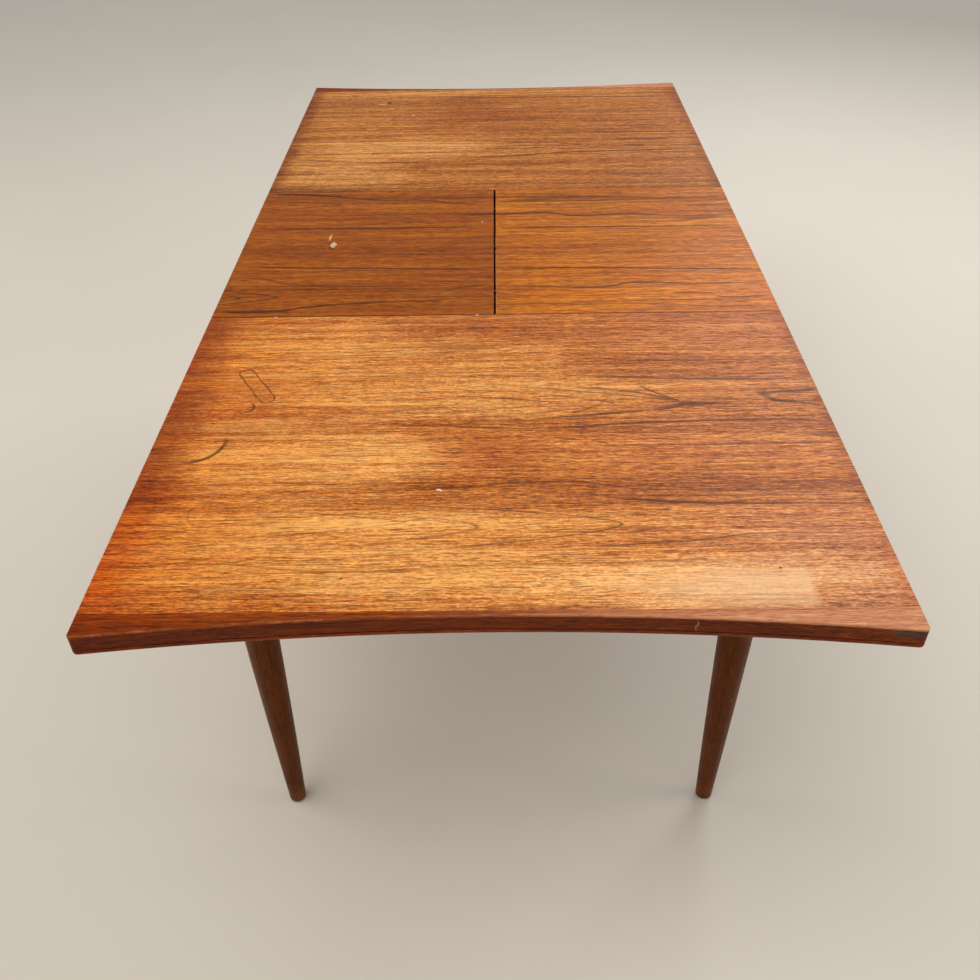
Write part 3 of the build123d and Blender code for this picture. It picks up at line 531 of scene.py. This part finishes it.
def leaf_material():
    """Both leaf halves, which are stored out of the light: unworn, and more golden."""
    g = Graph("teak_leaf", "x", offset=2.07, specular=0.3, gloss=WARM_GLOSS)
    colour = wood(g, (tone(92, 41, 0), tone(164, 84, 6), tone(208, 121, 22), tone(238, 160, 46)),
                  contrast=1.2, lines=0.75, pores=0.8, heavy=1.45)
    lines = g.most(
        *(g.line(*row) for row in LEAF_LINES),
        *(g.line(*row, even=True) for row in LEAF_JOINTS),
        g.arch(-0.297, 0.189, 0.17, 0.026, 0.0036, 0.9, power=1.4, rings=2),
        g.arch(-0.357, -0.190, 0.12, 0.030, 0.0034, 0.9, power=1.3, rings=2),
        g.arch(0.30, 0.180, 0.30, 0.026, 0.0018, 0.4, rings=2),
        g.arch(0.395, -0.222, 0.16, 0.012, 0.0020, 0.6, power=1.6),
    )
    colour = g.mix(g.times(lines, 0.92), colour, DEEP)
    # left picks out the left half for the painted shade below
    left = g.ramp(g.x, 0.001, -0.001)
    # painted shade along both seams with the tops
    colour = g.mix(g.ramp(g.size(g.y), SEAM_Y - 0.0023, SEAM_Y - 0.0003, 0.0, 0.75), colour, DEEP)
    # painted shade on the left half, and painted sheen lighter to the right and on the near part of the right
    # half
    colour = g.tint(left, colour, 0.71, 0.60, 0.28)
    colour = g.tint(g.ramp(g.x, 0.15, 0.45), colour, 1.06, 1.04, 1.30)
    colour = g.tint(g.times(g.ramp(g.x, 0.0, 0.1), g.ramp(g.y, 0.05, -0.20)), colour, 1.20, 1.20, 1.05)
    ragged = g.scaled(g.noise(g.place, 260.0, 3.0, 0.6), 2.4, -1.2)
    chip = g.most(g.patch(-0.2890, 0.008, 0.0048, 0.0105, edge=0.2, wander=ragged),
                  g.times(g.patch(-0.2985, 0.040, 0.0022, 0.013, edge=0.3, wander=ragged), 0.7),
                  g.patch(-0.023, 0.100, 0.0014, 0.0026, edge=0.3))
    bruise = g.patch(-0.2895, 0.006, 0.0068, 0.0160, edge=0.3, wander=ragged)
    colour = g.mix(g.times(bruise, 0.5), colour, DEEP)
    colour = g.mix(chip, colour, tone(214, 184, 150))
    rough = g.scaled(g.fine, 0.12, 0.34)
    return g.finish(colour, rough, g.height)


RED_TEAK = (tone(64, 22, 4), tone(112, 44, 8), tone(148, 66, 16), tone(178, 94, 34))
DARK_TEAK = (tone(44, 15, 0), tone(80, 34, 0), tone(108, 50, 0), tone(140, 74, 4))


def lipping_material(name, along, offset, ends=False):
    """Solid edging, redder and darker than the veneer, rubbed pale along its upper arris, with painted shade
    on its upright faces and painted highlights and sheen.
    """
    g = Graph(name, along, offset=offset, specular=0.25, gloss=RED_GLOSS)
    colour = wood(g, RED_TEAK, contrast=1.2, lines=0.5, coarse=1.6)
    wander = g.noise(g.place, 30.0, 4.0, 0.65)
    if ends:
        # side picks the upright face; right is a painted pinkish sheen on the top face that grows to the
        # right
        side = g.ramp(g.z, TOP_Z - 0.0018, TOP_Z - 0.0035)
        right = g.times(g.ramp(g.x, -0.15, 0.35), g.inverse(side))
        colour = g.mix(g.times(right, 0.85), colour, sheen_tones(g))
        colour = g.tint(g.ramp(g.x, -0.25, -0.42), colour, 0.94, 0.70, 0.22)
        # the outer edge is an arc about a point far outside the table
        away = g.math("SUBTRACT", g.size(g.y), END_ARC_Y)
        edge = g.math("SUBTRACT", g.vector("LENGTH", g.point(g.x, away)), END_ARC_RADIUS)
        rub = g.times(g.ramp(edge, 0.0026, 0.0006), g.ramp(g.z, TOP_Z - 0.003, TOP_Z - 0.001))
        patchy = g.most(g.ramp(wander, 0.44, 0.66, 0.08, 0.55),
                        g.times(g.patch(0.16, -0.915, 0.12, 0.02), g.ramp(wander, 0.40, 0.55, 0.1, 0.8)))
        colour = g.mix(g.times(rub, patchy), colour, tone(206, 136, 98))
        # painted shade on the upright face, and a painted highlight on the bead below the quirk
        colour = g.tint(g.times(side, 0.9), colour, 0.60, 0.41, 0.16)
        colour = g.tint(g.ramp(g.z, QUIRK_Z, QUIRK_Z - 0.001), colour, 1.35, 1.35, 1.35)
        # the bruised near right corner, and a pale slanting scratch on the near face
        scuff = g.times(g.patch(0.436, -0.938, 0.020, 0.020, edge=0.4, wander=g.scaled(wander, 1.2, -0.6)),
                        g.ramp(g.z, TOP_Z - 0.0015, TOP_Z - 0.003),
                        g.ramp(g.z, TOP_Z - 0.015, TOP_Z - 0.011))
        bruised = g.tones(g.depth, (tone(34, 22, 16), tone(58, 42, 34), tone(96, 80, 68)))
        colour = g.mix(g.times(scuff, 0.8), colour, bruised)
        slant = g.scaled(g.z, 0.20, g.scaled(g.x, -1.0, 0.0654))
        slant = g.scaled(g.noise(g.place, 160.0, 2.0), 0.008, slant)
        scratch = g.times(g.ramp(g.size(slant), 0.0012, 0.0003), g.ramp(g.y, 0.0, -0.1),
                          g.ramp(g.z, TOP_Z - 0.0035, TOP_Z - 0.0055),
                          g.ramp(g.z, TOP_Z - 0.022, TOP_Z - 0.018))
        colour = g.mix(g.times(scratch, 0.6), colour, tone(190, 136, 72))
    else:
        # the arris along each side edge, rubbed pale and also given a painted highlight
        upper = g.times(g.ramp(g.z, TOP_Z - 0.0038, TOP_Z - 0.0008),
                        g.ramp(g.size(g.x), HALF_WIDTH - 0.0032, HALF_WIDTH - 0.0006))
        rub = g.times(upper, g.ramp(wander, 0.38, 0.62, 0.1, 0.8))
        colour = g.mix(g.times(rub, 0.55), colour, tone(206, 136, 90))
        # painted shade on the upright face
        side = g.ramp(g.z, TOP_Z - 0.0025, TOP_Z - 0.005)
        colour = g.tint(g.times(side, 0.8), colour, 0.6, 0.48, 0.36)
    rough = g.scaled(wander, 0.18, 0.32)
    return g.finish(colour, rough, g.height)


def solid_teak(name, along, offset, worn_low=False):
    """Turned or planed solid teak, dark red-brown and satin."""
    g = Graph(name, along, offset=offset, specular=0.16, gloss=RED_GLOSS)
    colour = wood(g, DARK_TEAK, contrast=0.8, coarse=1.5, warp=0.02)
    wander = g.noise(g.place, 22.0, 4.0, 0.6)
    colour = g.tint(g.ramp(wander, 0.40, 0.72, 0.0, 0.6), colour, 0.7, 0.6, 0.5)
    if worn_low:
        foot = g.times(g.ramp(g.z, 0.055, 0.010), g.ramp(wander, 0.35, 0.6))
        colour = g.mix(g.times(foot, 0.4), colour, tone(140, 84, 42))
        nicks = g.ramp(g.noise(g.vector("MULTIPLY", g.place, (150, 150, 60)), detail=1.0), 0.76, 0.80)
        colour = g.mix(g.times(nicks, 0.4), colour, tone(176, 126, 80))
    rough = g.scaled(wander, 0.20, 0.32)
    return g.finish(colour, rough, g.height)


def backing_material():
    """The unpolished underside of the boards."""
    g = Graph("backing_veneer", "x", offset=3.3, specular=0.3)
    colour = wood(g, (tone(96, 56, 30), tone(140, 88, 52), tone(170, 116, 74), tone(194, 144, 100)),
                  contrast=0.7, lines=0.35, pores=0.7)
    dust = g.noise(g.place, 12.0, 5.0, 0.6)
    colour = g.mix(g.ramp(dust, 0.4, 0.75, 0.0, 0.35), colour, tone(128, 84, 56))
    return g.finish(colour, g.scaled(dust, 0.15, 0.62), g.height)


def beech_material(name, along, offset):
    """Pale beech with its short brown flecks, for the runners, bearers and blocks."""
    g = Graph(name, along, offset=offset, specular=0.35)
    colour = wood(g, (tone(160, 116, 74), tone(198, 156, 110), tone(218, 182, 138), tone(234, 204, 164)),
                  contrast=0.6, lines=0.3, pores=0.2, coarse=1.8)
    fleck = g.ramp(g.grain(90.0, 420.0, detail=1.0, shift=4.0), 0.62, 0.70)
    colour = g.mix(g.times(fleck, 0.55), colour, tone(150, 102, 62))
    wander = g.noise(g.place, 15.0, 4.0, 0.6)
    colour = g.mix(g.ramp(wander, 0.45, 0.75, 0.0, 0.4), colour, tone(176, 134, 92))
    return g.finish(colour, g.scaled(wander, 0.2, 0.5), g.height)


def metal_material(name, bright, dull, rough_low, rough_high):
    """Brass or zinc-plated steel with fine brush lines and patchy tarnish."""
    g = Graph(name, "z", metallic=1.0)
    tarnish = g.noise(g.place, 60.0, 5.0, 0.62)
    brush = g.noise(g.vector("MULTIPLY", g.place, (900, 900, 120)), detail=2.0)
    colour = g.mix(g.ramp(tarnish, 0.38, 0.66), bright, dull)
    colour = g.mix(g.ramp(brush, 0.4, 0.7, 0.0, 0.25), colour, dull)
    rough = g.scaled(tarnish, rough_high - rough_low, rough_low)
    return g.finish(colour, rough, g.add(g.times(brush, 0.4), g.times(tarnish, 0.6)), depth=0.00008)


def glide_material():
    """Black nylon, scuffed grey."""
    g = Graph("glide_nylon", "z", specular=0.4)
    speckle = g.noise(g.place, 700.0, 3.0, 0.6)
    scuff = g.noise(g.vector("MULTIPLY", g.place, (160, 40, 160)), detail=4.0, rough=0.7)
    colour = g.mix(g.ramp(scuff, 0.45, 0.72), tone(30, 29, 28), tone(84, 80, 74))
    return g.finish(colour, g.ramp(speckle, 0.3, 0.7, 0.5, 0.68), speckle, depth=0.00006)


def paint(material, *names):
    """Gives every slot of the named pieces this material."""
    for name in names:
        if not nodes[name].data.materials:
            nodes[name].data.materials.append(material)
        for slot in nodes[name].material_slots:
            slot.material = material


near_teak, far_teak, leaf_teak = near_top_material(), far_top_material(), leaf_material()
end_lipping = lipping_material("lipping_end", "x", 0.55, ends=True)
cross_lipping = lipping_material("lipping_cross", "x", 1.75)
side_lipping = lipping_material("lipping_side", "y", 2.65)
backing = backing_material()
beech_across, beech_along = beech_material("beech_across", "x", 0.4), beech_material("beech_along", "y", 1.4)
steel = metal_material("zinc_steel", tone(196, 198, 202), tone(128, 128, 130), 0.22, 0.5)
brass = metal_material("brass", tone(168, 126, 62), tone(84, 60, 30), 0.25, 0.55)

paint(near_teak, "near_top_veneer")
paint(far_teak, "far_top_veneer")
paint(leaf_teak, "leaf_left_veneer", "leaf_right_veneer")
paint(end_lipping, "near_top_end_lipping", "far_top_end_lipping")
paint(cross_lipping, "near_top_seam_lipping", "far_top_seam_lipping", "leaf_left_seam_lippings",
      "leaf_right_seam_lippings")
paint(side_lipping, "near_top_side_lippings", "far_top_side_lippings", "leaf_left_outer_lipping",
      "leaf_right_outer_lipping", "leaf_left_hinge_lipping", "leaf_right_hinge_lipping")
paint(backing, "near_top_board", "far_top_board", "leaf_left_board", "leaf_right_board")
for index, name in enumerate(("leg_near_left", "leg_near_right", "leg_far_left", "leg_far_right")):
    paint(solid_teak(name, "z", 4.1 + 0.83 * index, worn_low=True), name)
paint(solid_teak("side_rail_teak", "y", 5.7), "side_rail_left", "side_rail_right")
paint(solid_teak("end_rail_teak", "x", 6.4), "end_rail_near", "end_rail_far")
paint(beech_across, "bearer_near", "bearer_far", "near_top_batten", "far_top_batten", "corner_braces")
paint(beech_along, "near_top_runner_left", "near_top_runner_right", "far_top_runner_left",
      "far_top_runner_right", "runner_keepers", "near_top_stop_blocks", "far_top_stop_blocks", "pivot_blocks")
paint(steel, "leg_bolts", "leg_nuts", "keeper_screws", "near_top_screws", "far_top_screws",
      "pivot_block_screws", "hinge_screws_left", "hinge_screws_right", "pivot_pins", "hinge_bridge_pins")
paint(brass, "pivot_bushes", "hinge_barrels_left", "hinge_barrels_right", "hinge_bridges")
paint(glide_material(), "foot_glides")


# ---------------------------------------------------------------- floor, light and camera

def floor_material():
    """A plain pale floor."""
    g = Graph("floor", "x", specular=0.2)
    faint = g.noise(g.place, 1.2, 3.0, 0.5)
    return g.finish(g.mix(faint, tone(212, 208, 200), tone(220, 216, 208)), 0.8)


bpy.ops.mesh.primitive_plane_add(size=60, location=(0, 0, 0))
floor = bpy.context.object
floor.name = "floor"
floor.data.materials.append(floor_material())


FILL_COLOUR = (1.0, 0.88, 0.72)


def area_light(name, place, aim, size, power, colour):
    """A soft light at place, turned towards aim. power is in watts."""
    data = bpy.data.lights.new(name, "AREA")
    data.shape = "RECTANGLE"
    data.size, data.size_y = size
    data.energy = power
    data.color = colour
    lamp = bpy.data.objects.new(name, data)
    lamp.location = place
    lamp.rotation_euler = (Vector(aim) - Vector(place)).to_track_quat("-Z", "Y").to_euler()
    bpy.context.scene.collection.objects.link(lamp)


area_light("key", (-1.6, -1.6, 4.2), (0, 0, 0.6), (3.2, 3.2), 62, (1.0, 0.92, 0.80))
area_light("sheen", (2.0, 2.6, 3.0), (0.2, -0.4, 0.7), (2.4, 1.6), 56, (1.0, 0.95, 0.94))
area_light("right_fill", (4.6, -0.8, 1.7), (0.3, -0.3, 0.4), (2.0, 1.6), 48, FILL_COLOUR)
area_light("left_fill", (-4.6, 0.6, 1.7), (-0.3, 0.0, 0.4), (2.0, 1.6), 30, FILL_COLOUR)

sun = bpy.data.lights.new("overhead", "SUN")
sun.energy = 1.0
sun.angle = math.radians(70)
sun.color = (1.0, 0.96, 0.90)
overhead = bpy.data.objects.new("overhead", sun)
overhead.rotation_euler = (math.radians(20), math.radians(-12), 0)
bpy.context.scene.collection.objects.link(overhead)

world = bpy.data.worlds.new("studio")
world.use_nodes = True
background = world.node_tree.nodes["Background"]
background.inputs["Color"].default_value = (1.0, 0.985, 0.96, 1)
background.inputs["Strength"].default_value = 0.27
bpy.context.scene.world = world
bpy.context.scene.view_settings.view_transform = "Standard"


def camera(place, yaw, pitch, roll, lens):
    """The scene's camera, turned right by yaw, tipped down by pitch and rolled clockwise, in degrees."""
    yaw, pitch, roll = (math.radians(angle) for angle in (yaw, pitch, roll))
    ahead = Vector((math.sin(yaw) * math.cos(pitch), math.cos(yaw) * math.cos(pitch), -math.sin(pitch)))
    right = Vector((math.cos(yaw), -math.sin(yaw), 0))
    down = ahead.cross(right)
    turned_right = right * math.cos(roll) + down * math.sin(roll)
    turned_down = down * math.cos(roll) - right * math.sin(roll)
    data = bpy.data.cameras.new("camera")
    data.lens = lens
    data.sensor_width = 36
    data.clip_end = 200
    body = bpy.data.objects.new("camera", data)
    bpy.context.scene.collection.objects.link(body)
    turn = Matrix((turned_right, -turned_down, -ahead)).transposed().to_4x4()
    body.matrix_world = Matrix.Translation(place) @ turn
    bpy.context.scene.camera = body


camera(place=(0.0061, -1.6465, 1.4850), yaw=-0.794, pitch=38.595, roll=1.082, lens=36.21)
